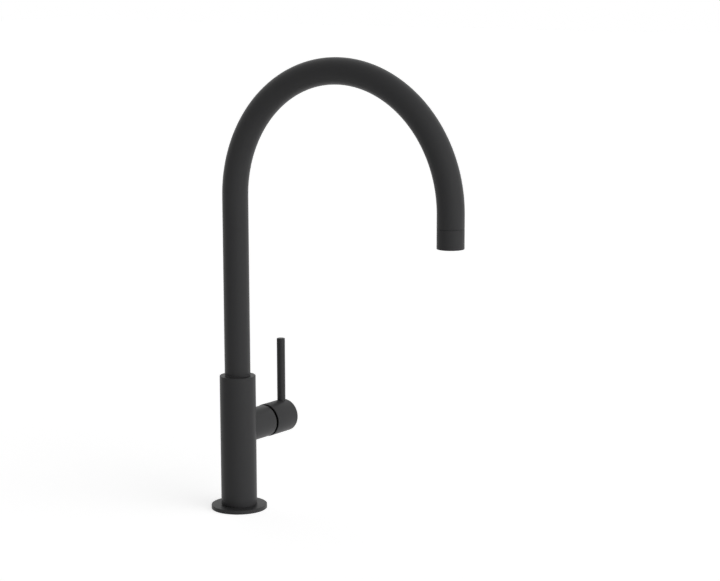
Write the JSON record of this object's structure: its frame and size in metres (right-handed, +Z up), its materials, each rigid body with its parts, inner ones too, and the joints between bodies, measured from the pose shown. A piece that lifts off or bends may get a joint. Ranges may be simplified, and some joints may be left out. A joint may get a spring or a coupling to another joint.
{
  "type": "single-lever mixer tap",
  "caption": "Tall round gooseneck mixer tap with a side lever: the spout swivels, and the lever turns for heat and tilts for flow.",
  "frame": {"origin": "centre of the base flange's underside, on the worktop", "axes": "+Z up along the column, spout towards -Y, valve housing and lever on +X"},
  "size_m": [0.1027, 0.2856, 0.5031],
  "materials": {
    "black_coat": "matt black powder coat over brass and zinc",
    "turned_brass": "turned",
    "stainless": "satin stainless steel",
    "black_rubber": "smooth matt rubber",
    "dark_plastic": "satin moulded acetal",
    "pale_plastic": "moulded acetal",
    "white_ceramic": "lapped alumina"
  },
  "bodies": {
    "tap_body": {"base_flange": "black_coat", "deck_gasket": "black_rubber", "body": "black_coat", "upper_slide_ring": "dark_plastic", "lower_slide_ring": "dark_plastic", "spout_lock_screw": "stainless", "cartridge_base": "pale_plastic", "port_seals": "black_rubber", "disc_seal": "black_rubber", "fixed_disc": "white_ceramic", "cartridge_body": "pale_plastic", "cartridge_nut": "turned_brass", "dome_ring": "dark_plastic", "fixing_stud": "stainless", "clamp_gasket": "black_rubber", "clamp_plate": "stainless", "fixing_nut": "turned_brass"},
    "spout": {"spout_tube": "black_coat", "spout_nipple": "turned_brass", "spout_seals": "black_rubber", "outlet_insert": "black_coat", "aerator_housing": "black_coat", "aerator_gasket": "black_rubber", "aerator_core": "dark_plastic", "aerator_screen": "stainless"},
    "cartridge_rotor": {"stem_guide": "pale_plastic", "pivot_pin": "stainless"},
    "handle": {"handle_cap": "black_coat", "lever_pin": "black_coat", "handle_screw": "stainless", "stem": "turned_brass"},
    "disc_slider": {"moving_disc": "white_ceramic", "disc_carrier": "pale_plastic"}
  },
  "joints": [
    {"name": "spout_swivel", "type": "hinge", "parent": "tap_body", "child": "spout", "pos_m": [0, 0, 0.1326], "axis": [0, 0, 1], "continuous": true},
    {"name": "temperature_turn", "type": "hinge", "parent": "tap_body", "child": "cartridge_rotor", "pos_m": [0.0282, 0, 0.0794], "axis": [1, 0, 0], "range_deg": [-45, 45]},
    {"name": "flow_tilt", "type": "hinge", "parent": "cartridge_rotor", "child": "handle", "pos_m": [0.0282, 0, 0.0794], "axis": [0, 1, 0], "range_deg": [0, 20]},
    {"name": "disc_slide", "type": "slide", "parent": "cartridge_rotor", "child": "disc_slider", "axis": [0, 0, 1], "range_m": [0, 0.0024]}
  ],
  "couplings": [
    {"joint": "disc_slide", "follows": "flow_tilt", "m_per_rad": 0.0068587}
  ]
}
